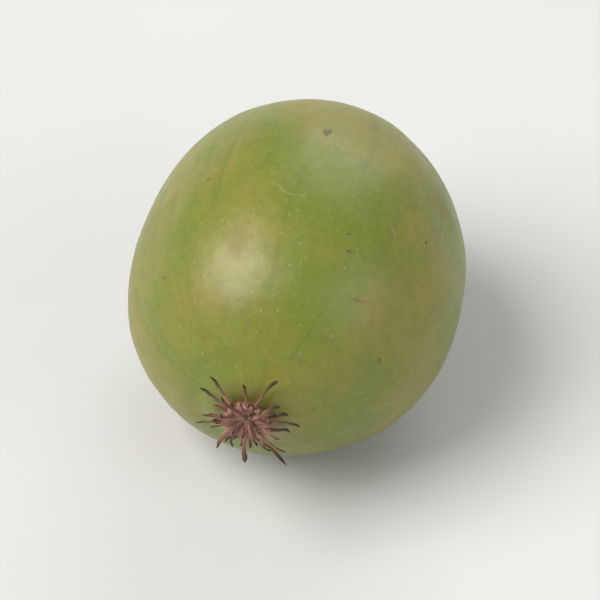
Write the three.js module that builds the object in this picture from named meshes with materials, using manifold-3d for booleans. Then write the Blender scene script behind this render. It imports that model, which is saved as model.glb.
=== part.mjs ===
// A kiwi berry, the small smooth-skinned fruit of the hardy kiwi vine, as picked and laid on its side.
// The fruit is one plump green body. At the front, a short beak carries the dried styles of the flower as
// a brown tuft. At the back, a shallow hollow holds the brown scar where the stalk came away, ringed by
// the stubs of the sepals. The fruit rests on a small flat that its own weight has pressed.
//
// Each piece is first made upright in the fruit's own frame: Y runs along the fruit, from the stem end
// (y = 0) to the style end. One group then lays it down. In the part's frame the origin is the middle of
// the resting flat, +Z is up, and the style end points along -Y. Lengths are millimetres.

import * as THREE from "three";
import { mergeVertices } from "three/addons/utils/BufferGeometryUtils.js";
import Module from "manifold-3d";

const wasm = await Module();
wasm.setup();

// Fruit body
const LENGTH = 28; // end to end of the skin, without hollow or beak
const WIDTH = 24.4; // side to side as it lies
const HEIGHT = 23.4; // bottom to top, before the flat is pressed
const WIDEST_AT = 0.515; // share of the length, counted from the stem end
const STEM_END_FULLNESS = 2.2; // exponent of the end's superellipse: 2 is an ellipse, more is blunter
const STYLE_END_FULLNESS = 2.15;
const SEAM_SINK = 0.011; // share of the radius by which three long seams sink and the sides between swell
const BOW = 0.35; // sideways bow of the fruit at its middle
const FRUIT_SIDES = 48;
const RINGS_PER_END = 18;

// How it lies
const STYLE_END_RISE = THREE.MathUtils.degToRad(2); // the fruit balances with its style end this much up
const FLAT_DEPTH = 0.25; // how far the underside is pressed in
const BALANCE = { x: 0.28, y: 14.15 }; // centre of mass in the fruit's frame: the flat is under it

// Stem end: a hollow with a level floor, and the scar in it
const HOLLOW = { depth: 1.35, floorRadius: 2.6, rimRadius: 5.2 };
const SCAR = {
  diskRadius: 2,
  diskThickness: 0.4,
  sepalReach: 0.4, // how far the five sepal stubs stand out past the disk
  ringRadius: 1.15, // of the low ring that the stalk broke from
  ringWidth: 0.3,
  ringHeight: 0.6,
  faceDip: 0.14, // from the ring's crest down to the broken face inside it
  pitRadius: 0.4, // in the middle of that face
  pitDepth: 0.3,
};
const SEPALS = 5;

// Style end: a beak with a level top, and the tuft on it
const BEAK = { height: 0.55, topRadius: 1.5, footRadius: 4.8 };
const PAD = { footRadius: 1.25, radius: 1.6, height: 0.9 };
const STYLES = 20;
const STYLE_REACH = 3.6; // distance of an outer tip from the fruit's axis
const WORN_UNDERNEATH = 0.15; // share by which the styles on the underside are shorter
const STRAY_STYLE = { index: 3, reach: 4.8 }; // one style is longer than the others
const STYLE_ROOT_RADIUS = 0.26;
const STYLE_TIP_RADIUS = 0.12;
const STYLE_SIDES = 5;
const STYLE_STEPS = 6;

const SEAT_GAP = 0.2; // clearance under the pad and under the scar

const smooth = (t) => THREE.MathUtils.smoothstep(t, 0, 1);

// A seeded generator of numbers from 0 to 1, so that the tuft is the same on every run.
function seededRandom(seed) {
  let state = seed;
  return () => {
    state = (state * 1664525 + 1013904223) % 2 ** 32;
    return state / 2 ** 32;
  };
}

// The same surface with shared corners and nothing but positions.
function welded(geometry) {
  const bare = geometry.clone();
  bare.deleteAttribute("normal");
  bare.deleteAttribute("uv");
  return mergeVertices(bare, 1e-4);
}

// Moves every vertex of a geometry by a function that changes a Vector3 in place.
function reshape(geometry, change) {
  const places = geometry.getAttribute("position");
  const p = new THREE.Vector3();
  for (let i = 0; i < places.count; i++) {
    p.fromBufferAttribute(places, i);
    change(p);
    places.setXYZ(i, p.x, p.y, p.z);
  }
  return geometry;
}

function toSolid(geometry) {
  const vertProperties = new Float32Array(geometry.getAttribute("position").array);
  const triVerts = new Uint32Array(geometry.index.array);
  return new wasm.Manifold(new wasm.Mesh({ numProp: 3, vertProperties, triVerts }));
}

function toGeometry(solid) {
  const mesh = solid.getMesh();
  const geometry = new THREE.BufferGeometry();
  geometry.setAttribute("position", new THREE.BufferAttribute(new Float32Array(mesh.vertProperties), 3));
  geometry.setIndex(new THREE.BufferAttribute(new Uint32Array(mesh.triVerts), 1));
  return geometry;
}

// ---- How the fruit lies, in its own frame ----

// Down: the way the resting flat faces.
const down = new THREE.Vector3(0, -Math.sin(STYLE_END_RISE), Math.cos(STYLE_END_RISE));
const flatMiddle = new THREE.Vector3(BALANCE.x, BALANCE.y, 0);
flatMiddle.addScaledVector(down, HEIGHT / 2 - FLAT_DEPTH);

// ---- Fruit body ----

const middleY = WIDEST_AT * LENGTH;
const fullRadius = WIDTH / 2;

// Distance along the fruit from its widest ring to the skin, at a radius, on an end of a given half length.
const endReach = (radius, halfLength, fullness) =>
  halfLength * (1 - (radius / fullRadius) ** fullness) ** (1 / fullness);

// Where the skin is at a radius on the stem end, hollow included.
function stemEndY(radius) {
  const skin = middleY - endReach(radius, middleY, STEM_END_FULLNESS);
  const inHollow = smooth((HOLLOW.rimRadius - radius) / (HOLLOW.rimRadius - HOLLOW.floorRadius));
  return THREE.MathUtils.lerp(skin, HOLLOW.depth, inHollow);
}

// The same on the style end, beak included.
function styleEndY(radius) {
  const skin = middleY + endReach(radius, LENGTH - middleY, STYLE_END_FULLNESS);
  const onBeak = smooth((BEAK.footRadius - radius) / (BEAK.footRadius - BEAK.topRadius));
  return THREE.MathUtils.lerp(skin, LENGTH + BEAK.height, onBeak ** 1.5);
}

// Half outline of the fruit, from the stem end's axis to the style end's. On each end the first ring is the
// edge of the level middle, and the others spread out to the widest ring.
function fruitOutline() {
  const ringRadius = (ring, levelRadius) => {
    const spread = Math.sin(((ring - 1) / (RINGS_PER_END - 1)) * (Math.PI / 2)) ** 1.2;
    return THREE.MathUtils.lerp(levelRadius, fullRadius, spread);
  };
  const outline = [new THREE.Vector2(0, stemEndY(0))];
  for (let ring = 1; ring <= RINGS_PER_END; ring++) {
    const radius = ringRadius(ring, HOLLOW.floorRadius);
    outline.push(new THREE.Vector2(radius, stemEndY(radius)));
  }
  for (let ring = RINGS_PER_END - 1; ring >= 1; ring--) {
    const radius = ringRadius(ring, BEAK.topRadius);
    outline.push(new THREE.Vector2(radius, styleEndY(radius)));
  }
  outline.push(new THREE.Vector2(0, styleEndY(0)));
  return outline;
}

// The turned outline with its seams, bow and oval section, and the underside cut level where it rests.
function fruitBody() {
  const body = reshape(welded(new THREE.LatheGeometry(fruitOutline(), FRUIT_SIDES)), (p) => {
    const around = Math.atan2(p.z, p.x);
    const spread = Math.hypot(p.x, p.z) / fullRadius;
    const swell = 1 + SEAM_SINK * spread ** 2 * Math.sin(3 * around);
    const bowed = Math.max(0, 1 - ((2 * p.y) / LENGTH - 1) ** 2);
    p.x = p.x * swell + BOW * bowed;
    p.z *= swell * (HEIGHT / WIDTH);
  });
  const table = new THREE.BoxGeometry(LENGTH, LENGTH, LENGTH).translate(0, 0, LENGTH / 2);
  table.rotateX(STYLE_END_RISE).translate(flatMiddle.x, flatMiddle.y, flatMiddle.z);
  return toGeometry(toSolid(body).subtract(toSolid(welded(table))));
}

// ---- Stem scar ----

// A corky disk with five sepal stubs at its edge. On it stands the low ring that the stalk broke from, with
// the broken face inside it and a small pit in the middle, where the veins of the stalk ran in.
function stemScar() {
  const back = HOLLOW.depth - SEAT_GAP;
  const disk = back - SCAR.diskThickness;
  const crest = back - SCAR.ringHeight;
  const face = crest + SCAR.faceDip;
  const ringInside = SCAR.ringRadius - SCAR.ringWidth / 2;
  const ringOutside = SCAR.ringRadius + SCAR.ringWidth / 2;
  const diskFrom = ringOutside + 0.15;
  const outline = [
    new THREE.Vector2(0, face + SCAR.pitDepth),
    new THREE.Vector2(SCAR.pitRadius * 0.6, face + SCAR.pitDepth * 0.9),
    new THREE.Vector2(SCAR.pitRadius, face),
    new THREE.Vector2(ringInside - 0.06, face),
    new THREE.Vector2(ringInside + 0.04, crest + 0.02),
    new THREE.Vector2(ringOutside - 0.06, crest),
    new THREE.Vector2(ringOutside, disk - 0.1),
    new THREE.Vector2(diskFrom, disk),
    new THREE.Vector2(SCAR.diskRadius * 0.92, disk + 0.04),
    new THREE.Vector2(SCAR.diskRadius, (disk + back) / 2),
    new THREE.Vector2(SCAR.diskRadius * 0.97, back),
    new THREE.Vector2(0, back),
  ];
  return reshape(welded(new THREE.LatheGeometry(outline, SEPALS * 8)), (p) => {
    const around = Math.atan2(p.z, p.x);
    const atEdge = smooth((Math.hypot(p.x, p.z) - diskFrom) / (SCAR.diskRadius - diskFrom));
    const onSepal = (0.5 + 0.5 * Math.cos(SEPALS * around)) ** 1.5;
    const stretch = 1 + (atEdge * onSepal * SCAR.sepalReach) / SCAR.diskRadius;
    p.x *= stretch;
    p.z *= stretch;
  });
}

// ---- Style tuft ----

const padFoot = LENGTH + BEAK.height + SEAT_GAP;

// The pad is a low cup, wider at its rim than at its foot.
function tuftPad() {
  const outline = [
    new THREE.Vector2(0, padFoot),
    new THREE.Vector2(PAD.footRadius, padFoot),
    new THREE.Vector2(PAD.radius, padFoot + PAD.height * 0.6),
    new THREE.Vector2(PAD.radius * 0.9, padFoot + PAD.height * 0.9),
    new THREE.Vector2(PAD.radius * 0.65, padFoot + PAD.height),
    new THREE.Vector2(0, padFoot + PAD.height * 0.75),
  ];
  return welded(new THREE.LatheGeometry(outline, 20));
}

// The path of a style, from inside the pad out past the beak. Outer styles lie low over the skin and curl
// up at the tip. Every third one is an inner style, which stands up before it bends out.
function stylePath(index, random) {
  const inner = index % 3 === 2;
  const around = (index / STYLES) * 2 * Math.PI + (random() - 0.5) * 0.3;
  const along = new THREE.Vector3(Math.cos(around), 0, Math.sin(around));
  const beside = new THREE.Vector3(-along.z, 0, along.x);
  const worn = 1 - WORN_UNDERNEATH * Math.sin(around);
  const usualReach = STYLE_REACH * worn * (0.76 + 0.4 * random()) * (inner ? 0.72 : 1);
  const reach = index === STRAY_STYLE.index ? STRAY_STYLE.reach : usualReach;
  const lie = inner ? 1.2 + random() : -0.6 + 0.8 * random();
  const curl = 0.1 + 0.7 * random();
  const sway = (random() - 0.5) * 1.2;
  const point = (out, up, aside) =>
    new THREE.Vector3(0, padFoot + up, 0).addScaledVector(along, out).addScaledVector(beside, aside);
  return new THREE.CubicBezierCurve3(
    point(PAD.radius * 0.35, PAD.height * 0.5, 0),
    point(PAD.radius * 1.2, PAD.height * (inner ? 2 : 1.1), 0),
    point(reach * 0.75, lie, sway * 0.4),
    point(reach, lie + curl, sway),
  );
}

// A dried style: a tapered stalk bent along its path.
function driedStyle(path) {
  const stalk = welded(new THREE.CylinderGeometry(1, 1, 1, STYLE_SIDES, STYLE_STEPS));
  const frames = path.computeFrenetFrames(STYLE_STEPS);
  return reshape(stalk, (p) => {
    const step = Math.round((p.y + 0.5) * STYLE_STEPS);
    const done = step / STYLE_STEPS;
    const radius = THREE.MathUtils.lerp(STYLE_ROOT_RADIUS, STYLE_TIP_RADIUS, done);
    const across = frames.normals[step].clone().multiplyScalar(p.x * radius);
    // Against the binormal, because along it the stalk would be mirrored and its faces would point in.
    const beside = frames.binormals[step].clone().multiplyScalar(-p.z * radius);
    path.getPointAt(done, p);
    p.add(across).add(beside);
  });
}

function styleTuft() {
  const random = seededRandom(5);
  let tuft = toSolid(tuftPad());
  for (let index = 0; index < STYLES; index++) {
    tuft = tuft.add(toSolid(driedStyle(stylePath(index, random))));
  }
  return toGeometry(tuft);
}

// ---- Assembly ----

function piece(name, geometry, color, roughness) {
  const faceted = geometry.toNonIndexed();
  faceted.computeVertexNormals();
  const material = new THREE.MeshStandardMaterial({ color, roughness, metalness: 0 });
  const mesh = new THREE.Mesh(faceted, material);
  mesh.name = name;
  return mesh;
}

const fruit = new THREE.Group();
fruit.add(piece("berry", fruitBody(), 0x7d8b35, 0.5));
fruit.add(piece("style_tuft", styleTuft(), 0x6b4331, 0.85));
fruit.add(piece("stem_scar", stemScar(), 0x5a4030, 0.9));

// Turned about X so that the style end points along -Y and a little up, then set down on its flat.
fruit.rotation.x = Math.PI - STYLE_END_RISE;
fruit.position.copy(flatMiddle).applyEuler(fruit.rotation).negate();

const kiwiBerry = new THREE.Group();
kiwiBerry.add(fruit);

export default kiwiBerry;
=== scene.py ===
# %% [markdown]
# # A kiwi berry
# A kiwi berry is the fruit of the hardy kiwi vine: a grape-sized kiwi with a smooth, edible green skin.
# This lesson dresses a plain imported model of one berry. The model has three solids: the fruit, the brown
# tuft of dried styles at its front end, and the corky scar at its back end, where the stalk came away.
# Each is replaced by a finer mesh in the same place, and each gets a finish made of shader nodes.

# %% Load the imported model
import math

import bmesh
import bpy
from mathutils import Matrix, Quaternion, Vector, geometry, noise


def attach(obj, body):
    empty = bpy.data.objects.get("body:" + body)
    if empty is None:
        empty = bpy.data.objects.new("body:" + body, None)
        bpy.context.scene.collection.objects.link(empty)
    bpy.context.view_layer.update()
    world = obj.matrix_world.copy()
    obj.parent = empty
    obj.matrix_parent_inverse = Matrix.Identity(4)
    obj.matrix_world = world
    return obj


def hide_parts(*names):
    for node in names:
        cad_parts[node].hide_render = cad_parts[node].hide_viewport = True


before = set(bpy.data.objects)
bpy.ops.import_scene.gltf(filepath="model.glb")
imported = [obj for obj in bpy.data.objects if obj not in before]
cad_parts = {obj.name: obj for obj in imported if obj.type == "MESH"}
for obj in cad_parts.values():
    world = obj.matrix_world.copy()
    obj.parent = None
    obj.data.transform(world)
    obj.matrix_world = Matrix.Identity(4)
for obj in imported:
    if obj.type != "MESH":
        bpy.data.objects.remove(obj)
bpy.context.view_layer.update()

print("packed solids:", sorted(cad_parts))

# %% [markdown]
# ## The fruit's own frame
# It is easier to shape a fruit that stands upright than one that lies on its side. So every piece is made
# in millimetres in the fruit's own frame, with Y along the fruit from the stem end to the style end. One
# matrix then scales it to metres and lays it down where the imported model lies: on its flat, with the style
# end towards -Y and a little up.

# %% Sizes and the matrix that lays the fruit down
MM = 0.001
LENGTH = 28.0
WIDTH = 24.4
HEIGHT = 23.4
STYLE_END_RISE = math.radians(2)
FLAT_DEPTH = 0.25
BALANCE = Vector((0.28, 14.15, 0))

down = Vector((0, -math.sin(STYLE_END_RISE), math.cos(STYLE_END_RISE)))
flat_middle = BALANCE + down * (HEIGHT / 2 - FLAT_DEPTH)
turn_over = Matrix.Rotation(math.pi - STYLE_END_RISE, 4, "X")
LAY_DOWN = Matrix.Scale(MM, 4) @ turn_over @ Matrix.Translation(-flat_middle)
print("the middle of the flat is laid at", tuple(LAY_DOWN @ flat_middle))


# %% Turn a bmesh into a piece
def box_text(low, high):
    """The size of a box in millimetres, from its lowest and its highest corner."""
    return " x ".join(f"{(b - a) / MM:.1f}" for a, b in zip(low, high)) + " mm"


def finish_mesh(shape, name, replaced_node):
    """Lays a bmesh down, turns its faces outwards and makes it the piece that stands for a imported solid."""
    bmesh.ops.transform(shape, matrix=LAY_DOWN, verts=shape.verts)
    bmesh.ops.recalc_face_normals(shape, faces=shape.faces)
    for face in shape.faces:
        face.smooth = True
    loose_edges = sum(not edge.is_manifold for edge in shape.edges)
    mesh = bpy.data.meshes.new(name)
    shape.to_mesh(mesh)
    shape.free()
    piece = bpy.data.objects.new(name, mesh)
    bpy.context.scene.collection.objects.link(piece)
    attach(piece, "root")
    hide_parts(replaced_node)
    size = box_text(piece.bound_box[0], piece.bound_box[6])
    print(f"{name}: {len(mesh.polygons)} faces, {loose_edges} loose edges, {size}")
    return piece


# %% [markdown]
# ## The outline of the fruit
# The fruit is nearly a solid of revolution, so half of its outline says most of its shape. Each end is a
# superellipse, a curve that can be made blunter than an ellipse by one exponent. The stem end dips into a
# shallow hollow with a level floor, and the style end rises into a short beak with a level top.

# %% Half outline of the fruit
FULL_RADIUS = WIDTH / 2
WIDEST_Y = 0.515 * LENGTH
STEM_END_FULLNESS = 2.2
STYLE_END_FULLNESS = 2.15
HOLLOW_DEPTH, HOLLOW_FLOOR_RADIUS, HOLLOW_RIM_RADIUS = 1.35, 2.6, 5.2
BEAK_HEIGHT, BEAK_TOP_RADIUS, BEAK_FOOT_RADIUS = 0.55, 1.5, 4.8
RINGS_PER_END = 96


def smooth(t):
    """0 below 0, 1 above 1, and an S-shaped step between."""
    t = min(max(t, 0.0), 1.0)
    return t * t * (3 - 2 * t)


def lerp(a, b, t):
    return a + (b - a) * t


def end_reach(radius, half_length, fullness):
    return half_length * (1 - (radius / FULL_RADIUS) ** fullness) ** (1 / fullness)


def stem_end_y(radius):
    skin = WIDEST_Y - end_reach(radius, WIDEST_Y, STEM_END_FULLNESS)
    in_hollow = smooth((HOLLOW_RIM_RADIUS - radius) / (HOLLOW_RIM_RADIUS - HOLLOW_FLOOR_RADIUS))
    return lerp(skin, HOLLOW_DEPTH, in_hollow)


def style_end_y(radius):
    skin = WIDEST_Y + end_reach(radius, LENGTH - WIDEST_Y, STYLE_END_FULLNESS)
    on_beak = smooth((BEAK_FOOT_RADIUS - radius) / (BEAK_FOOT_RADIUS - BEAK_TOP_RADIUS))
    return lerp(skin, LENGTH + BEAK_HEIGHT, on_beak**1.5)


def fruit_outline():
    """Points from the stem end's axis to the style end's, evenly turned round each end."""
    radii = [FULL_RADIUS * math.sin(ring / RINGS_PER_END * math.pi / 2) for ring in range(RINGS_PER_END)]
    stem_end = [(radius, stem_end_y(radius)) for radius in radii]
    style_end = [(radius, style_end_y(radius)) for radius in reversed(radii)]
    return stem_end + [(FULL_RADIUS, WIDEST_Y)] + style_end


print("outline points:", len(fruit_outline()))

# %% [markdown]
# ## Turning an outline into a closed shape
# Spin is the potter's wheel of bmesh: it sweeps a chain of edges round an axis and bridges the steps. The
# two ends of the chain lie on the axis, so the sweep leaves a heap of points at each pole. Merging doubles
# turns each heap into one point, which closes the shape. A small double cone shows that it works.


# %% Spin an outline round the fruit's axis
def spin_outline(points, steps):
    shape = bmesh.new()
    chain = [shape.verts.new((radius, y, 0)) for radius, y in points]
    edges = [shape.edges.new(pair) for pair in zip(chain, chain[1:])]
    bmesh.ops.spin(
        shape,
        geom=chain + edges,
        cent=(0, 0, 0),
        axis=(0, 1, 0),
        angle=2 * math.pi,
        steps=steps,
        use_merge=True,
    )
    bmesh.ops.remove_doubles(shape, verts=shape.verts, dist=1e-4)
    bmesh.ops.recalc_face_normals(shape, faces=shape.faces)
    return shape


double_cone = spin_outline([(0, 0), (1, 1), (0, 2)], 8)
print("double cone of 8 steps:", len(double_cone.verts), "points and", len(double_cone.faces), "faces")
double_cone.free()

# %% [markdown]
# ## The skin
# A grown fruit is never a perfect turned shape. Three long seams run down it where its halves met in the
# flower, it bows a little sideways, and its section is a bit flatter than round. On top of that come low
# swells, faint ridges along its length, a few shallow dents from its neighbours on the vine, and small
# wrinkles where the skin draws in round the beak and round the stem hollow. All of it is a formula for how
# far each point moves, because a formula can be tuned one term at a time.

# %% The grown shape
SEAM_SINK = 0.011
BOW = 0.35


def grown_shape(p):
    """The seams, the oval section and the sideways bow."""
    around = math.atan2(p.z, p.x)
    spread = math.hypot(p.x, p.z) / FULL_RADIUS
    swell = 1 + SEAM_SINK * spread**2 * math.sin(3 * around)
    bowed = max(0.0, 1 - (2 * p.y / LENGTH - 1) ** 2)
    return Vector((p.x * swell + BOW * bowed, p.y, p.z * swell * HEIGHT / WIDTH))


def on_fruit(degrees, y):
    """A point on the skin of the fruit, by its angle round the axis and its place along it."""
    half = WIDEST_Y if y < WIDEST_Y else LENGTH - WIDEST_Y
    fullness = STEM_END_FULLNESS if y < WIDEST_Y else STYLE_END_FULLNESS
    radius = FULL_RADIUS * (1 - min(abs(y - WIDEST_Y) / half, 1) ** fullness) ** (1 / fullness)
    around = math.radians(degrees)
    return grown_shape(Vector((radius * math.cos(around), y, radius * math.sin(around))))


print("the widest point grows to", on_fruit(0, WIDEST_Y))

# %% Relief of the skin
# Height and length of each kind of relief, in millimetres.
SWELL_HEIGHT, SWELL_LENGTH = 0.13, 6.5
RIPPLE_HEIGHT, RIPPLE_LENGTH = 0.04, 2.6
RIDGE_HEIGHT, RIDGE_LENGTH = 0.03, 26
PEBBLE_HEIGHT, PEBBLE_LENGTH = 0.009, 0.7
BEAK_WRINKLE_HEIGHT, HOLLOW_WRINKLE_HEIGHT = 0.085, 0.11
# Shallow dents: degrees round the fruit, millimetres along it, radius and depth in millimetres.
DENTS = [
    (-70, 9.5, 5.0, 0.22),
    (-150, 20.0, 4.2, 0.18),
    (-28, 20.5, 3.2, 0.12),
    (10, 13.5, 4.6, 0.14),
    (120, 11.0, 4.0, 0.16),
]


def spoke_at(around):
    """The direction away from the fruit's axis at an angle. Noise that is read along it makes streaks."""
    return Vector((math.cos(around), 0, math.sin(around)))


def skin_relief(p):
    """How far a point of the skin stands out, in millimetres."""
    radius = math.hypot(p.x, p.z)
    spoke = spoke_at(math.atan2(p.z, p.x))
    level_ends = smooth((radius - BEAK_TOP_RADIUS) / 1.5)
    relief = SWELL_HEIGHT * noise.noise(p / SWELL_LENGTH)
    relief += RIPPLE_HEIGHT * noise.noise(p / RIPPLE_LENGTH + Vector((7, 3, 5)))
    relief += RIDGE_HEIGHT * noise.noise(spoke * 5.5 + Vector((0, p.y / RIDGE_LENGTH, 0)))
    relief += PEBBLE_HEIGHT * noise.noise(p / PEBBLE_LENGTH)
    for degrees, y, size, depth in DENTS:
        relief -= depth * smooth(1 - (p - on_fruit(degrees, y)).length / size)
    at_beak = smooth((4.6 - radius) / 3) if p.y > WIDEST_Y else 0
    at_hollow = smooth((6.2 - radius) / 3) if p.y < WIDEST_Y else 0
    wrinkles = BEAK_WRINKLE_HEIGHT * at_beak * noise.noise(spoke * 4.2 + Vector((0, radius / 3, 0)))
    wrinkles += HOLLOW_WRINKLE_HEIGHT * at_hollow * noise.noise(spoke * 3.6 + Vector((3, radius / 3, 0)))
    return level_ends * relief + wrinkles


print(f"relief on top of the fruit: {skin_relief(on_fruit(-90, WIDEST_Y)):.3f} mm")

# %% Shape the skin
FRUIT_STEPS = 360
skin_shape = spin_outline(fruit_outline(), FRUIT_STEPS)
for vert in skin_shape.verts:
    vert.co = grown_shape(vert.co)
skin_shape.normal_update()
shifts = [(vert, vert.normal * skin_relief(vert.co)) for vert in skin_shape.verts]
for vert, shift in shifts:
    vert.co += shift
    under_flat = (vert.co - flat_middle).dot(down)
    if under_flat > 0:
        vert.co -= down * under_flat
berry_skin = finish_mesh(skin_shape, "berry_skin", "berry")

# %% [markdown]
# ## The tuft of dried styles
# The flower of the hardy kiwi has a wheel of about twenty styles. They dry on the fruit as a brown tuft,
# each one a thin curling thread with a dark, thickened tip. Hair curves would be the quick way, but they
# have no real surface. Here each style is extruded ring by ring along a Bezier path, so it can taper,
# flatten, twist and swell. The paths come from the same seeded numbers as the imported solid, so the fine
# tuft grows exactly over the plain one.

# %% A seeded source of numbers
TUFT_SEED = 5


def seeded(state):
    """Gives a function that returns the next number from 0 to 1 each time it is called."""

    def draw():
        nonlocal state
        state = (state * 1664525 + 1013904223) % 2**32
        return state / 2**32

    return draw


print(f"first number drawn from the tuft's seed: {seeded(TUFT_SEED)():.4f}")

# %% The path of a style
SEAT_GAP = 0.2
PAD_FOOT_Y = LENGTH + BEAK_HEIGHT + SEAT_GAP
PAD_RADIUS, PAD_FOOT_RADIUS, PAD_HEIGHT = 1.6, 1.25, 0.9
STYLES = 20
STYLE_REACH = 3.6
WORN_UNDERNEATH = 0.15
STRAY_STYLE, STRAY_REACH = 3, 4.8


def wheel_point(around, out, up, aside=0.0):
    """A point beside the pad: out along one spoke, up from the pad's foot, and aside across the spoke."""
    along = spoke_at(around)
    beside = Vector((-along.z, 0, along.x))
    return Vector((0, PAD_FOOT_Y + up, 0)) + along * out + beside * aside


def style_knots(index, draw):
    """The four Bezier points of a style. Every third style stands up first, and the others lie low."""
    inner = index % 3 == 2
    around = index / STYLES * 2 * math.pi + (draw() - 0.5) * 0.3
    worn = 1 - WORN_UNDERNEATH * math.sin(around)
    usual_reach = STYLE_REACH * worn * (0.76 + 0.4 * draw()) * (0.72 if inner else 1)
    reach = STRAY_REACH if index == STRAY_STYLE else usual_reach
    lie = 1.2 + draw() if inner else -0.6 + 0.8 * draw()
    curl = 0.1 + 0.7 * draw()
    sway = (draw() - 0.5) * 1.2
    return [
        wheel_point(around, PAD_RADIUS * 0.35, PAD_HEIGHT * 0.5),
        wheel_point(around, PAD_RADIUS * 1.2, PAD_HEIGHT * (2 if inner else 1.1)),
        wheel_point(around, reach * 0.75, lie, sway * 0.4),
        wheel_point(around, reach, lie + curl, sway),
    ]


print("the first style's tip:", style_knots(0, seeded(TUFT_SEED))[-1])

# %% [markdown]
# ## Drying
# A dried style is kinked, shrunken and furrowed. mathutils has a noise_vector for kinks, but it starts from
# the clock, so each run would dry the styles another way. Its plain noise is the same in every run, so the
# kinks are made of three of those.

# %% Thickness and kinks of a dried style
STYLE_ROOT_RADIUS, STYLE_THINNING = 0.25, 0.19
TIP_SWELLING, TIP_SWELLS_FROM, TIP_TAPERS_FROM = 0.03, 0.68, 0.86
KINK, SMALL_KINK = 0.15, 0.05
FAR_APART = (0, 37, 71)


def style_radius(done):
    """Radius of a style from its root (0) to its tip (1), which is a little swollen and then pointed."""
    stalk = STYLE_ROOT_RADIUS - STYLE_THINNING * done**0.6
    in_swelling = min(max((done - TIP_SWELLS_FROM) / (1 - TIP_SWELLS_FROM), 0), 1)
    in_point = max(0.0, (done - TIP_TAPERS_FROM) / (1 - TIP_TAPERS_FROM))
    point = math.sqrt(max(0.004, 1 - in_point**2))
    return (stalk + TIP_SWELLING * math.sin(math.pi * in_swelling)) * point


def wander(p):
    """A smooth random shift: one noise value for each axis, all read at places far apart."""
    return Vector([noise.noise(p + Vector((0, far, 0))) for far in FAR_APART])


def shrivelled_path(knots, tone, rings):
    """Points along the Bezier path. Drying kinks it more and more towards the tip."""
    path = []
    for i, point in enumerate(geometry.interpolate_bezier(*knots, rings)):
        seed = Vector((tone * 40, 0, 0))
        kink = KINK * wander(point * 0.9 + seed) + SMALL_KINK * wander(point * 2.7 - seed)
        path.append(point + kink * (i / rings))
    return path


print("style radius, root to tip:", " ".join(f"{style_radius(i / 5):.2f}" for i in range(6)), "mm")

# %% Extrude one style along its path
STYLE_SIDES = 10
STYLE_RINGS = 26


def note_dry_stuff(shape, vert, tip_share, tone, grain):
    """Keeps how near a tip a point is, its style's tone, and a place whose Z runs with the grain."""
    vert[shape.verts.layers.float["tip_share"]] = tip_share
    vert[shape.verts.layers.float["tone"]] = tone
    vert[shape.verts.layers.float_vector["grain"]] = grain


def grow_style(shape, knots, tone, thickness=1.0, rings=STYLE_RINGS):
    """Adds one style to the tuft, and notes in the layers what the shader has to know about it."""
    path = shrivelled_path(knots, tone, rings)
    heading = Vector((0, 0, 1)).rotation_difference(path[1] - path[0])
    ring = bmesh.ops.create_circle(shape, cap_ends=True, segments=STYLE_SIDES, radius=1)["verts"]
    face = ring[0].link_faces[0]
    placed = Matrix.Identity(4)
    grown = []
    for i, point in enumerate(path):
        if i > 0:
            made = bmesh.ops.extrude_face_region(shape, geom=[face])["geom"]
            if i > 1:
                # The first face closes the root. A later one would stay behind as a wall inside the style.
                bmesh.ops.delete(shape, geom=[face], context="FACES_ONLY")
            ring = [part for part in made if isinstance(part, bmesh.types.BMVert)]
            face = next(part for part in made if isinstance(part, bmesh.types.BMFace))
        if 0 < i < len(path) - 1:
            heading = (point - path[i - 1]).rotation_difference(path[i + 1] - point) @ heading
        done = i / (rings - 1)
        wizened = 1 + 0.22 * noise.noise(Vector((done * 7, tone * 50, 0)))
        radius = style_radius(done) * thickness * wizened
        twist = Quaternion((0, 0, 1), 3 * done + tone * 6)
        flattened = Matrix.Diagonal((radius * 1.15, radius * 0.8, radius, 1))
        place = Matrix.Translation(point) @ (heading @ twist).to_matrix().to_4x4() @ flattened
        bmesh.ops.transform(shape, matrix=place @ placed.inverted(), verts=ring)
        placed = place
        grown += [(vert, place, done) for vert in ring]
    for vert, place, done in grown:
        side = place.inverted() @ vert.co
        note_dry_stuff(shape, vert, done, tone, grain=Vector((side.x, side.y, 1.6 * done + 40 * tone)))
        furrow = 0.2 * noise.noise(Vector((1.6 * side.x, 1.6 * side.y, 3 * done + 40 * tone)))
        vert.co = place @ (side * (1 + furrow))


print("a long style has", STYLE_RINGS, "rings of", STYLE_SIDES, "points")

# %% [markdown]
# ## The pad under the tuft
# The styles are joined at their feet in a low woody cup. It could be a plain button, but its rim shows
# between the styles. So it is spun like the fruit, and then fluted, one flute between each two styles, and
# crumpled with noise. Then the styles are grown over it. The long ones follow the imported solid, and short
# and broken ones, which are too fine for it, crowd the middle.

# %% Shape the pad
PAD_STEPS = 160
SUNK = 0.12  # how deep a piece is sunk into the skin that carries it

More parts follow.
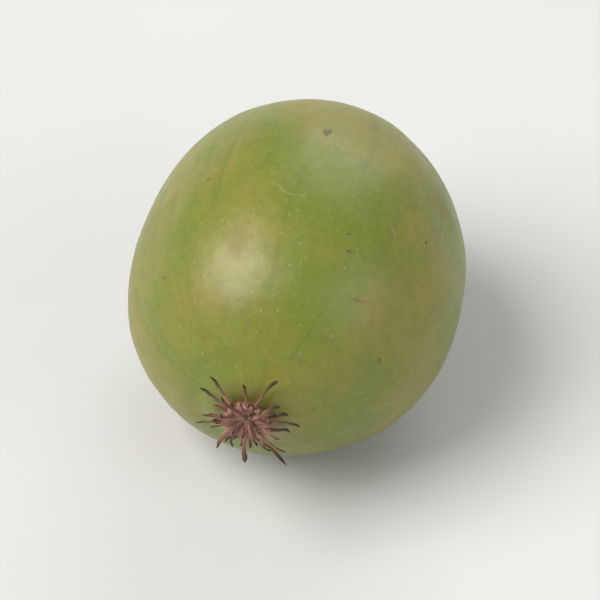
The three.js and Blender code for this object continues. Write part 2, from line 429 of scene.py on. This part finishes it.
pad_outline = [
    (0, PAD_FOOT_Y - SEAT_GAP - SUNK),
    (PAD_FOOT_RADIUS, PAD_FOOT_Y - SEAT_GAP - SUNK),
    (PAD_FOOT_RADIUS * 1.02, PAD_FOOT_Y),
    (PAD_FOOT_RADIUS * 1.12, PAD_FOOT_Y + PAD_HEIGHT * 0.2),
    (PAD_RADIUS * 0.97, PAD_FOOT_Y + PAD_HEIGHT * 0.45),
    (PAD_RADIUS, PAD_FOOT_Y + PAD_HEIGHT * 0.6),
    (PAD_RADIUS * 0.97, PAD_FOOT_Y + PAD_HEIGHT * 0.78),
    (PAD_RADIUS * 0.85, PAD_FOOT_Y + PAD_HEIGHT * 0.93),
    (PAD_RADIUS * 0.65, PAD_FOOT_Y + PAD_HEIGHT),
    (PAD_RADIUS * 0.4, PAD_FOOT_Y + PAD_HEIGHT * 0.88),
    (PAD_RADIUS * 0.2, PAD_FOOT_Y + PAD_HEIGHT * 0.78),
    (0, PAD_FOOT_Y + PAD_HEIGHT * 0.75),
]
tuft_shape = spin_outline(pad_outline, PAD_STEPS)
tuft_shape.verts.layers.float.new("tip_share")
tuft_shape.verts.layers.float.new("tone")
tuft_shape.verts.layers.float_vector.new("grain")
for vert in tuft_shape.verts:
    around = math.atan2(vert.co.z, vert.co.x)
    above_foot = smooth((vert.co.y - PAD_FOOT_Y) / (0.4 * PAD_HEIGHT))
    spoke = Vector((math.cos(around), math.sin(around), 0)) * 4
    grain = spoke + Vector((0, 0, 0.4 * (vert.co.y + math.hypot(vert.co.x, vert.co.z))))
    note_dry_stuff(tuft_shape, vert, tip_share=0.35 - 0.25 * above_foot, tone=0.5, grain=grain)
    flute = 0.09 * math.cos(STYLES * around) + 0.14 * noise.noise(vert.co * 1.9)
    crumple = 0.24 * noise.noise(vert.co * 2.1) + 0.14 * noise.noise(vert.co * 5.2)
    stretch = 1 + above_foot * flute
    vert.co = Vector((vert.co.x * stretch, vert.co.y + above_foot * crumple, vert.co.z * stretch))
print("pad:", len(tuft_shape.verts), "points")

# %% Grow the styles over the pad
SHORT_STYLES, SHORT_RINGS, SHORT_THICKNESS = 17, 20, 0.62
BROKEN_STYLES, BROKEN_RINGS, BROKEN_THICKNESS = 14, 14, 0.75

draw = seeded(TUFT_SEED)
knots_of_styles = [style_knots(index, draw) for index in range(STYLES)]
for knots in knots_of_styles:
    grow_style(tuft_shape, knots, tone=draw(), thickness=0.85 + 0.35 * draw())

for index in range(SHORT_STYLES):
    around = (index + 0.8 * draw()) / SHORT_STYLES * 2 * math.pi
    reach = PAD_RADIUS * (1.4 + 0.8 * draw())
    up = PAD_HEIGHT * 2.0 * draw()
    knots = [
        wheel_point(around, PAD_RADIUS * 0.5, PAD_HEIGHT * 0.5),
        wheel_point(around, PAD_RADIUS * 1.1, PAD_HEIGHT * 0.7 + 0.4 * up),
        wheel_point(around, reach * 0.85, up, 0.5 * (draw() - 0.5)),
        wheel_point(around, reach, up + 0.4 * (draw() - 0.3), 0.8 * (draw() - 0.5)),
    ]
    grow_style(tuft_shape, knots, tone=draw(), thickness=SHORT_THICKNESS, rings=SHORT_RINGS)

for index in range(BROKEN_STYLES):
    around = (index + draw()) / BROKEN_STYLES * 2 * math.pi
    out = PAD_RADIUS * (0.15 + 0.75 * draw())
    up = PAD_HEIGHT * (1.1 + 1.1 * draw())
    lean = 0.3 + 0.8 * draw()
    knots = [
        wheel_point(around, out * 0.8, PAD_HEIGHT * 0.5),
        wheel_point(around, out, up * 0.8),
        wheel_point(around, out + lean * 0.5, up, 0.5 * (draw() - 0.5)),
        wheel_point(around, out + lean, up + 0.5 * (draw() - 0.5), 1.1 * (draw() - 0.5)),
    ]
    grow_style(tuft_shape, knots, tone=draw(), thickness=BROKEN_THICKNESS, rings=BROKEN_RINGS)
dried_styles = finish_mesh(tuft_shape, "dried_styles", "style_tuft")

# %% [markdown]
# ## The stem scar
# A picked berry parts from its stalk at a corky ring with a small pit, where the veins of the stalk ran in.
# Round the ring sit the dry stubs of five sepals. The stubs could be five small meshes, but they are grown
# together at the ring. So the whole scar is spun from one outline and then worked by formula: the edge is
# pulled out into the stubs, which curl up a little, and fibres run out from the pit.

# %% Outline of the scar
SCAR_RADIUS, SEPAL_REACH, SEPALS = 2.0, 0.4, 5
RING_RADIUS, RING_WIDTH, FACE_DIP = 1.15, 0.3, 0.14
PIT_RADIUS, PIT_DEPTH = 0.4, 0.3
DISK_THICKNESS, RING_HEIGHT = 0.4, 0.6
SCAR_BACK = HOLLOW_DEPTH - SEAT_GAP
DISK_Y = SCAR_BACK - DISK_THICKNESS
RING_CREST = SCAR_BACK - RING_HEIGHT
FACE_Y = RING_CREST + FACE_DIP
RING_INSIDE = RING_RADIUS - RING_WIDTH / 2
RING_OUTSIDE = RING_RADIUS + RING_WIDTH / 2
DISK_FROM = RING_OUTSIDE + 0.15

scar_outline = [(PIT_RADIUS * t, FACE_Y + PIT_DEPTH * (1 - 0.2 * t)) for t in (0, 0.2, 0.4, 0.6)]
scar_outline += [(PIT_RADIUS * 0.85, FACE_Y + PIT_DEPTH * 0.5), (PIT_RADIUS, FACE_Y + 0.04)]
scar_outline += [(lerp(PIT_RADIUS * 1.15, RING_INSIDE - 0.06, t / 6), FACE_Y) for t in range(7)]
scar_outline += [
    (RING_INSIDE, RING_CREST + 0.08),
    (RING_INSIDE + 0.06, RING_CREST + 0.02),
    (RING_RADIUS, RING_CREST),
    (RING_OUTSIDE - 0.06, RING_CREST + 0.03),
    (RING_OUTSIDE, RING_CREST + 0.1),
    (RING_OUTSIDE + 0.05, DISK_Y - 0.04),
]
scar_outline += [(lerp(DISK_FROM, SCAR_RADIUS, t / 7), DISK_Y + 0.05 * t / 7) for t in range(8)]
scar_outline += [
    (SCAR_RADIUS * 1.01, DISK_Y + 0.12),
    (SCAR_RADIUS * 0.99, SCAR_BACK),
    (SCAR_RADIUS * 0.9, HOLLOW_DEPTH + SUNK),
    (0, HOLLOW_DEPTH + SUNK),
]
print("outline points of the scar:", len(scar_outline))

# %% Shape the scar
SCAR_STEPS = 200
SEPAL_CURL = 0.25


def sepal_stub(around):
    """How much of a sepal there is at an angle. No two of the five stubs broke at the same length."""
    spoke = spoke_at(around)
    stub = (0.5 + 0.5 * math.cos(SEPALS * around + 0.8 * noise.noise(spoke * 1.4))) ** 1.5
    return stub * (0.75 + 0.9 * noise.noise(spoke * 1.7 + Vector((0, 8, 0))))


scar_shape = spin_outline(scar_outline, SCAR_STEPS)
for vert in scar_shape.verts:
    p = vert.co.copy()
    around = math.atan2(p.z, p.x)
    radius = math.hypot(p.x, p.z)
    spoke = spoke_at(around)
    on_face = smooth((HOLLOW_DEPTH - p.y) / 0.3)
    at_edge = smooth((radius - DISK_FROM) / (SCAR_RADIUS - DISK_FROM))
    on_ring = smooth(1 - abs(radius - RING_RADIUS) / 0.3)
    ragged = 0.12 * noise.noise(spoke * 5.5) + 0.06 * noise.noise(spoke * 13)
    stretch = 1 + at_edge * (sepal_stub(around) * SEPAL_REACH / SCAR_RADIUS + ragged)
    stretch *= 1 + 0.16 * on_face * (1 - at_edge) * noise.noise(spoke * 1.6 + Vector((2, 0, 0)))
    fibres = 0.07 * noise.noise(spoke * 9 + Vector((0, radius * 0.7, 0))) + 0.06 * noise.noise(p * 3.4)
    crumbled = 0.3 * on_ring * max(0.0, noise.noise(spoke * 2.6 + Vector((0, 4, 0))))
    curl = SEPAL_CURL * at_edge * sepal_stub(around)
    vert.co = Vector((p.x * stretch, p.y - on_face * (fibres + curl - crumbled), p.z * stretch))
stem_scar = finish_mesh(scar_shape, "corky_scar", "stem_scar")

# %% [markdown]
# ## Writing shaders as sums
# A node tree is easier to read as arithmetic. `Link` wraps the output of a node, and adding or multiplying
# two links adds the Math node that does so. `Finish` is one node tree in the making, of a material or of
# the sky. Its `add` method makes every other kind of node.


# %% Link: arithmetic that adds Math nodes
class Link:
    """An output of a shader node, with arithmetic that adds Math nodes to the same finish."""

    def __init__(self, finish, socket):
        self.finish = finish
        self.socket = socket

    def math(self, operation, first, second):
        return self.finish.add("ShaderNodeMath", {"operation": operation}, {0: first, 1: second})

    def __add__(self, other):
        return self.math("ADD", self, other)

    def __radd__(self, other):
        return self.math("ADD", other, self)

    def __sub__(self, other):
        return self.math("SUBTRACT", self, other)

    def __rsub__(self, other):
        return self.math("SUBTRACT", other, self)

    def __mul__(self, other):
        return self.math("MULTIPLY", self, other)

    def __rmul__(self, other):
        return self.math("MULTIPLY", other, self)

    def __abs__(self):
        return self.math("ABSOLUTE", self, 0.0)


# %% Finish: a node tree in the making
class Finish:
    """The node tree of a material or of the sky, before the shader that it ends in."""

    def __init__(self, owner, shader="Principled BSDF"):
        owner.use_nodes = True
        self.owner = owner
        self.tree = owner.node_tree
        self.shader = self.tree.nodes[shader]

    def feed(self, socket, value):
        if isinstance(value, Link):
            self.tree.links.new(value.socket, socket)
        else:
            socket.default_value = value

    def add(self, kind, settings=None, inputs=None, output=0):
        node = self.tree.nodes.new(kind)
        for name, value in (settings or {}).items():
            setattr(node, name, value)
        for key, value in (inputs or {}).items():
            self.feed(node.inputs[key], value)
        return Link(self, node.outputs[output])

    def shade(self, **inputs):
        """Feeds the shader that the tree ends in. An underscore in a name stands for a space."""
        for name, value in inputs.items():
            self.feed(self.shader.inputs[name.replace("_", " ")], value)

    def put_on(self, piece):
        piece.data.materials.append(self.owner)
        print(f"{self.owner.name}: {len(self.tree.nodes)} nodes, on {piece.name}")

    def step(self, value, start, end):
        """0 where the value is at start, 1 where it is at end, and an S-shaped step between."""
        inputs = {"Value": value, "From Min": start, "From Max": end}
        return self.add("ShaderNodeMapRange", {"interpolation_type": "SMOOTHSTEP"}, inputs)

    def mix(self, share, first, second):
        """The first colour where share is 0, and the second where it is 1."""
        return self.add("ShaderNodeMix", {"data_type": "RGBA"}, {0: share, 6: first, 7: second}, output=2)

    def noise(self, vector, scale, detail=2.0, roughness=0.5, output=0):
        inputs = {"Vector": vector, "Scale": scale, "Detail": detail, "Roughness": roughness}
        return self.add("ShaderNodeTexNoise", {}, inputs, output)

    def cell_distance(self, vector, scale):
        """How far a point is from the middle of the nearest of the scattered cells."""
        return self.add("ShaderNodeTexVoronoi", {"feature": "F1"}, {"Vector": vector, "Scale": scale})

    def vector(self, operation, *values, output=0):
        return self.add("ShaderNodeVectorMath", {"operation": operation}, dict(enumerate(values)), output)

    def bump(self, height, strength, distance_mm):
        inputs = {"Height": height, "Strength": strength, "Distance": distance_mm * MM}
        return self.add("ShaderNodeBump", {}, inputs)


# %% [markdown]
# ## Places and marks on the fruit
# The fruit has no image texture, so nothing has to be unwrapped. Its finishes read where a point lies in
# the fruit's own frame, in millimetres, so a pore can be given the size of a real one. The distance from
# the axis and the direction away from it give rings and streaks. A mark is an ellipsoid laid on the skin:
# a Mapping node squeezes it to a ball of radius 1, so the length of a point says how far out it is.

# %% FruitFinish: a finish that knows where it is on the fruit
MARK_DEPTH = 2.0  # millimetres that a mark reaches in and out, more than the relief of the skin


class FruitFinish(Finish):
    """A material in the making, for a piece of the fruit."""

    def __init__(self, name):
        super().__init__(bpy.data.materials.new(name))

    def fruit_place(self):
        """Where a point of the surface is in the fruit's own frame, in millimetres."""
        inputs = {
            "Vector": self.add("ShaderNodeTexCoord", output="Object"),
            "Scale": (1 / MM,) * 3,
            "Rotation": (STYLE_END_RISE - math.pi, 0, 0),
            "Location": flat_middle,
        }
        return self.add("ShaderNodeMapping", {"vector_type": "POINT"}, inputs)

    def axis_parts(self, place):
        """Height along the fruit, distance from its axis, and the spoke that points away from the axis."""
        height = self.add("ShaderNodeSeparateXYZ", {}, {0: place}, output="Y")
        flat = self.vector("MULTIPLY", place, (1, 0, 1))
        return height, self.vector("LENGTH", flat, output="Value"), self.vector("NORMALIZE", flat)

    def along_spokes(self, spoke, across, other):
        """A place for noise that makes streaks: it changes fast across the spokes and slowly with other."""
        slow = self.add("ShaderNodeCombineXYZ", {}, {"Y": other})
        return self.vector("MULTIPLY_ADD", spoke, (across,) * 3, slow)

    def mark(self, place, degrees, y, half_length, half_width, slant):
        """How far a point is from a listed mark on the fruit: 0 in its middle and 1 at its edge."""
        outwards = on_fruit(degrees, y) - Vector((0, WIDEST_Y, 0))
        turn = Quaternion(outwards, math.radians(slant)) @ outwards.to_track_quat("Z", "Y")
        inputs = {
            "Vector": place,
            "Location": on_fruit(degrees, y),
            "Rotation": turn.to_euler(),
            "Scale": (half_width, half_length, MARK_DEPTH),
        }
        local = self.add("ShaderNodeMapping", {"vector_type": "TEXTURE"}, inputs)
        return self.vector("LENGTH", local, output="Value")

    def marks(self, place, placed_marks, ragged, solid_to, gone_at):
        """1 on the marks of a list and 0 off them. The ragged link makes their edges uneven."""
        distances = [self.mark(place, *mark) + ragged for mark in placed_marks]
        return sum(1 - self.step(distance, solid_to, gone_at) for distance in distances)


# %% [markdown]
# ## The green skin
# The skin is a thin waxy film over pale green flesh. Light goes a little way in, so it gets some subsurface
# scattering, and the wax gives it a soft, broad gloss. Its colour drifts between leaf green and a warmer
# olive, with a faint net of lighter and darker cells. Fine darker streaks run from end to end. Pale
# breathing pores pepper it in two sizes. Round the beak and in the stem hollow it turns brownish. Round the
# beak that brown is partly its own tint and partly painted shade under the tuft.
#
# Chance alone makes a skin that looks printed. So the marks that the eye picks out are listed one by one: a
# few corky flecks, thin scratches healed to a pale brown, rubbed patches, and two reddish nicks.

# %% Colours of the skin
LEAF_GREEN = (0.152, 0.192, 0.016, 1)
OLIVE = (0.226, 0.207, 0.022, 1)
DEEP_GREEN = (0.085, 0.12, 0.01, 1)
PALE_GREEN = (0.25, 0.28, 0.07, 1)
BLUSH = (0.25, 0.16, 0.045, 1)
# Brown of the skin at both ends. Round the beak it also stands for painted shade under the tuft.
BROWN_AND_SHADE = (0.16, 0.115, 0.04, 1)
PORE = (0.36, 0.37, 0.13, 1)
RUBBED = (0.23, 0.145, 0.05, 1)
HEALED = (0.33, 0.26, 0.12, 1)
CORK = (0.12, 0.065, 0.028, 1)
NICK_RED = (0.25, 0.08, 0.04, 1)


def drifting_green(skin, place, cloud, cells):
    """Leaf green that drifts to olive, with a warm blush, darker clouds and a faint net of cells."""
    drift = skin.step(skin.noise(place, 0.11, detail=3.0), 0.36, 0.62)
    elsewhere = skin.vector("ADD", place, (31.0, 7.0, 12.0))
    blush = skin.step(skin.noise(elsewhere, 0.15, detail=4.0, roughness=0.55), 0.5, 0.72)
    colour = skin.mix(drift, LEAF_GREEN, OLIVE)
    colour = skin.mix(blush * 0.3, colour, BLUSH)
    colour = skin.mix(skin.step(cloud, 0.42, 0.75) * 0.2, colour, DEEP_GREEN)
    colour = skin.mix(skin.step(cells, 0.5, 0.7) * 0.14, colour, PALE_GREEN)
    return skin.mix((1 - skin.step(cells, 0.3, 0.48)) * 0.16, colour, DEEP_GREEN)


# %% Marks placed one by one
# Each mark: degrees round the fruit, millimetres along it, half length, half width, and slant in degrees.
FLECKS = [
    (-62, 20.5, 0.26, 0.17, 20),
    (-66, 19.2, 0.15, 0.12, 60),
    (-121, 16.0, 0.3, 0.16, 10),
    (-84, 10.5, 0.4, 0.22, 40),
    (-38, 15.5, 0.24, 0.2, 0),
    (-141, 22.5, 0.2, 0.14, 70),
    (-20, 24.0, 0.28, 0.16, 35),
    (-12, 8.0, 0.35, 0.2, 15),
    (70, 17.0, 0.3, 0.2, 50),
    (150, 9.0, 0.3, 0.18, 30),
]
RUBBED_PATCHES = [(-104, 21.5, 1.9, 1.1, 35), (-33, 11.0, 2.6, 1.5, -20), (165, 13.0, 2.2, 1.4, 10)]
SCRATCHES = [(-90, 17.5, 1.7, 0.08, 62), (-52, 17.0, 0.9, 0.07, -42), (60, 12.0, 1.8, 0.08, 20)]
NICKS = [(-50, 22.8, 0.9, 0.13, 55), (-172, 12.0, 1.5, 0.16, -30)]


def skin_marks(skin, place):
    """Masks of the rubbed patches, scratches, flecks and nicks. Noise bends them and makes them ragged."""
    ragged = 1.2 * (skin.noise(place, 3.5, detail=3.0) - 0.5)
    waver = skin.noise(place, 0.9, detail=1.0, output="Color")
    bent = skin.vector("MULTIPLY_ADD", skin.vector("SUBTRACT", waver, (0.5,) * 3), (1.3,) * 3, place)
    rub = skin.marks(bent, RUBBED_PATCHES, ragged, 0.3, 1.1)
    scratch = skin.marks(bent, SCRATCHES, ragged, 0.3, 1.5)
    fleck = skin.marks(bent, FLECKS, ragged, 0.5, 1.2)
    nick = skin.marks(bent, NICKS, ragged, 0.3, 1.4)
    return rub, scratch, fleck, nick


print("marks on the skin:", sum(len(marks) for marks in (FLECKS, RUBBED_PATCHES, SCRATCHES, NICKS)))


# %% Green skin
def make_green_skin():
    skin = FruitFinish("green_skin")
    place = skin.fruit_place()
    height, radius, spoke = skin.axis_parts(place)
    cloud = skin.noise(place, 0.75, detail=4.0, roughness=0.6)
    cells = skin.noise(place, 1.9, detail=2.0, roughness=0.45)
    streaks = skin.noise(skin.along_spokes(spoke, 9.0, height * 0.05), 1.0, detail=6.0, roughness=0.7)
    pore = 1 - skin.step(skin.cell_distance(place, 1.15), 0.05, 0.15)
    speck = 1 - skin.step(skin.cell_distance(place, 2.6), 0.08, 0.26)
    rub, scratch, fleck, nick = skin_marks(skin, place)
    near_style_end = skin.step(height, WIDEST_Y, LENGTH)
    near_stem_end = 1 - skin.step(height, 0, WIDEST_Y)
    # Brown halo round the beak: partly the skin's own tint, partly painted shade under the tuft.
    at_beak = (1 - skin.step(radius, 1.4, 3.6)) * near_style_end
    at_hollow = (1 - skin.step(radius + 1.6 * (streaks - 0.5), 1.8, 4.4)) * near_stem_end

    colour = drifting_green(skin, place, cloud, cells)
    colour = skin.mix(skin.step(streaks, 0.5, 0.7) * 0.36, colour, DEEP_GREEN)
    colour = skin.mix(pore * 0.34 + speck * 0.2, colour, PORE)
    colour = skin.mix(rub * 0.3 * (0.5 + cloud), colour, RUBBED)
    colour = skin.mix(scratch * 0.4, colour, HEALED)
    colour = skin.mix(fleck * 0.7, colour, CORK)
    colour = skin.mix(nick * 0.6, colour, NICK_RED)
    # Painted shade under the tuft, mixed with the skin's own brown round the beak.
    colour = skin.mix(at_beak * 0.8 * (0.3 + 0.7 * cloud), colour, BROWN_AND_SHADE)
    colour = skin.mix(at_hollow * (0.45 + 0.7 * cloud), colour, BROWN_AND_SHADE)

    grain = skin.noise(place, 5.5, detail=3.0)
    raised = grain * 0.2 + streaks * 0.4 + cells * 0.5 + pore * 0.35 + fleck * 0.8
    skin.shade(
        Base_Color=colour,
        Roughness=0.33 + 0.18 * cloud + 0.25 * fleck + 0.1 * pore + 0.15 * rub,
        Normal=skin.bump(raised - nick * 0.8 - scratch * 0.4, strength=0.55, distance_mm=0.06),
        Subsurface_Weight=0.22,
        Subsurface_Radius=(1.0, 0.9, 0.3),
        Subsurface_Scale=1.2 * MM,
        Coat_Weight=0.12,
        Coat_Roughness=0.3,
    )
    return skin


make_green_skin().put_on(berry_skin)

# %% [markdown]
# ## The dried styles
# A dried style is a pinkish brown at its foot and nearly black at its tip. An image texture would need the
# tuft unwrapped. Instead, how near the tip a point is was kept in the mesh as an attribute, which the
# shader reads. The grain attribute makes fine fibres run along each style, so it looks papery.

# %% Dried styles
STYLE_FOOT = (0.4, 0.212, 0.155, 1)
STYLE_MIDDLE = (0.21, 0.1, 0.064, 1)
STYLE_TIP = (0.05, 0.033, 0.018, 1)
STYLE_PALE = (0.5, 0.335, 0.245, 1)


def make_dried_styles():
    dry = FruitFinish("dried_styles")
    share = dry.add("ShaderNodeAttribute", {"attribute_name": "tip_share"}, output="Fac")
    tone = dry.add("ShaderNodeAttribute", {"attribute_name": "tone"}, output="Fac")
    grain = dry.add("ShaderNodeAttribute", {"attribute_name": "grain"}, output="Vector")
    fibres = dry.noise(grain, 2.2, detail=4.0, roughness=0.6)
    blotches = dry.noise(dry.fruit_place(), 2.4, detail=3.0, roughness=0.6)
    darkness = share + 0.4 * (blotches - 0.5) + 0.3 * (tone - 0.5)
    colour = dry.mix(dry.step(darkness, 0.1, 0.5), STYLE_FOOT, STYLE_MIDDLE)
    colour = dry.mix(dry.step(darkness, 0.45, 0.9), colour, STYLE_TIP)
    colour = dry.mix(dry.step(fibres, 0.5, 0.7) * 0.5 * (1 - share), colour, STYLE_PALE)
    colour = dry.mix((1 - dry.step(fibres, 0.32, 0.52)) * 0.62, colour, STYLE_TIP)
    dry.shade(
        Base_Color=colour,
        Roughness=0.62 + 0.25 * blotches,
        Normal=dry.bump(fibres, strength=0.8, distance_mm=0.08),
        Specular_IOR_Level=0.3,
        Subsurface_Weight=0.05,
        Subsurface_Scale=0.5 * MM,
    )
    return dry


make_dried_styles().put_on(dried_styles)

# %% [markdown]
# ## The corky scar
# The sepal stubs are dark and dry. The ring that the stalk broke from is thin, paler and slightly pink, and
# broken in places. The face inside it is olive brown, with a dark pit. The parts could each have a
# material, with hard edges between them. Here the distance from the fruit's axis says which is which, and
# noise added to that distance makes the edges crumbly.

# %% Corky scar
SEPAL_BROWN = (0.08, 0.034, 0.024, 1)
SEPAL_EDGE = (0.21, 0.112, 0.07, 1)
RING_PALE = (0.33, 0.235, 0.175, 1)
FACE_OLIVE = (0.12, 0.085, 0.035, 1)
PIT_BROWN = (0.045, 0.028, 0.014, 1)


def make_corky_scar():
    cork = FruitFinish("corky_scar")
    place = cork.fruit_place()
    _, radius, spoke = cork.axis_parts(place)
    fibres = cork.noise(cork.along_spokes(spoke, 7.0, radius * 0.8), 1.0, detail=5.0, roughness=0.7)
    crumbs = cork.noise(place, 4.0, detail=4.0, roughness=0.65)
    patches = cork.noise(place, 1.3, detail=2.0)
    wavering = radius + 0.5 * (crumbs - 0.5) + 0.5 * (patches - 0.5)
    inside = 1 - cork.step(wavering, RING_RADIUS - 0.2, RING_RADIUS)
    on_ring = 1 - cork.step(abs(wavering - RING_RADIUS), 0.06, 0.26)
    in_pit = 1 - cork.step(wavering, PIT_RADIUS * 0.6, PIT_RADIUS * 1.2)

    colour = cork.mix(cork.step(fibres, 0.42, 0.72), SEPAL_BROWN, SEPAL_EDGE)
    colour = cork.mix(inside * 0.9, colour, FACE_OLIVE)
    colour = cork.mix(on_ring * cork.step(patches, 0.36, 0.56) * 0.8, colour, RING_PALE)
    colour = cork.mix(in_pit, colour, PIT_BROWN)
    colour = cork.mix(cork.step(crumbs, 0.58, 0.8) * 0.4, colour, SEPAL_EDGE)
    cork.shade(
        Base_Color=colour,
        Roughness=0.78 + 0.15 * crumbs,
        Normal=cork.bump(fibres * 0.6 + crumbs * 0.6, strength=0.7, distance_mm=0.09),
        Specular_IOR_Level=0.25,
    )
    return cork


make_corky_scar().put_on(stem_scar)

# %% [markdown]
# ## The table it lies on
# The floor is one large pale plane with a very faint mottle, so that it reads as a surface and not as a
# void. The lamps stand within two metres, so its far parts would be dark and show as a line behind the
# berry in a low view. A curved backdrop is the studio's cure, but here a faint glow that grows with the
# distance does it. The berry sees that glow nearly edge on, so it adds hardly any light.

# %% Floor
FLOOR_HALF = 3.0
GLOW_FROM, GLOW_FULL = 0.5, 3.2
TABLE_DARK = (0.6, 0.6, 0.59, 1)
TABLE_LIGHT = (0.64, 0.64, 0.63, 1)
NO_GLOW = (0, 0, 0, 1)
FAR_GLOW = (0.5, 0.5, 0.5, 1)

floor_shape = bmesh.new()
bmesh.ops.create_grid(floor_shape, x_segments=1, y_segments=1, size=FLOOR_HALF)
floor_mesh = bpy.data.meshes.new("floor")
floor_shape.to_mesh(floor_mesh)
floor_shape.free()
floor = bpy.data.objects.new("floor", floor_mesh)
bpy.context.scene.collection.objects.link(floor)

table = Finish(bpy.data.materials.new("pale_table"))
table_place = table.add("ShaderNodeTexCoord", output="Object")
mottle = table.noise(table_place, 60.0, detail=3.0)
far_off = table.step(table.vector("LENGTH", table_place, output="Value"), GLOW_FROM, GLOW_FULL)
table.shade(
    Base_Color=table.mix(mottle, TABLE_DARK, TABLE_LIGHT),
    Roughness=0.7,
    Emission_Color=table.mix(far_off, NO_GLOW, FAR_GLOW),
    Emission_Strength=1.0,
)
table.owner.cycles.emission_sampling = "NONE"
table.put_on(floor)

# %% [markdown]
# ## Light and camera
# A small bright lamp would put a hard white spot on the waxy skin. So a big soft one from the upper left
# gives it a broad gloss and a soft shadow, and a weaker one from the right and a low one from behind keep
# the far sides readable. All stand about 1.5 metres off, so the floor near the berry is lit evenly. The
# sky is brighter near the horizon, like a white room, so low views stay pale. The camera looks down
# through a long lens, with the style end towards it.

# %% Lamps
FRUIT_MIDDLE = Vector((0, 0, HEIGHT / 2 * MM))


def aim(obj, place, target):
    obj.location = place
    obj.rotation_euler = (target - place).to_track_quat("-Z", "Y").to_euler()


def softbox(name, place, size, power, colour=(1, 1, 1)):
    lamp = bpy.data.lights.new(name, "AREA")
    lamp.shape = "SQUARE"
    lamp.size = size
    lamp.energy = power
    lamp.color = colour
    holder = bpy.data.objects.new(name, lamp)
    bpy.context.scene.collection.objects.link(holder)
    aim(holder, Vector(place), FRUIT_MIDDLE)
    print(f"{name}: {power} W from {Vector(place).length:.2f} m")


softbox("key_light", (-0.8, -0.48, 1.2), 1.04, 27, (1.0, 0.98, 0.95))
softbox("fill_light", (1.28, -0.4, 0.8), 1.0, 6, (0.95, 0.98, 1.0))
softbox("back_light", (0.2, 1.4, 0.9), 1.0, 8)

# %% Sky
SKY_AT_HORIZON, SKY_HIGH_UP, SKY_FADE = 0.75, 0.32, 0.35

world = bpy.data.worlds.new("studio")
bpy.context.scene.world = world
sky = Finish(world, "Background")
direction = sky.add("ShaderNodeTexCoord", output="Generated")
upwards = sky.add("ShaderNodeSeparateXYZ", {}, {0: direction}, output="Z")
fade = {"Value": upwards, "From Max": SKY_FADE, "To Min": SKY_AT_HORIZON, "To Max": SKY_HIGH_UP}
sky.shade(Color=(1, 1, 1, 1), Strength=sky.add("ShaderNodeMapRange", {}, fade))
bpy.context.scene.view_settings.view_transform = "Standard"
print("sky strength at the horizon and high up:", SKY_AT_HORIZON, SKY_HIGH_UP)

# %% Camera
AZIMUTH, ELEVATION = math.radians(13), math.radians(46)
CAMERA_DISTANCE = 0.245
LENS = 200
FRAMING = Vector((0.0005, -0.0015, -0.001))

camera_data = bpy.data.cameras.new("camera")
camera_data.lens = LENS
camera = bpy.data.objects.new("camera", camera_data)
bpy.context.scene.collection.objects.link(camera)
bpy.context.scene.camera = camera
flat_share = math.cos(ELEVATION)
away = Vector((math.sin(AZIMUTH) * flat_share, -math.cos(AZIMUTH) * flat_share, math.sin(ELEVATION)))
look_at = FRUIT_MIDDLE + FRAMING
aim(camera, look_at + away * CAMERA_DISTANCE, look_at)
print(f"camera {CAMERA_DISTANCE} m away, {math.degrees(ELEVATION):.0f} degrees up, lens {LENS} mm")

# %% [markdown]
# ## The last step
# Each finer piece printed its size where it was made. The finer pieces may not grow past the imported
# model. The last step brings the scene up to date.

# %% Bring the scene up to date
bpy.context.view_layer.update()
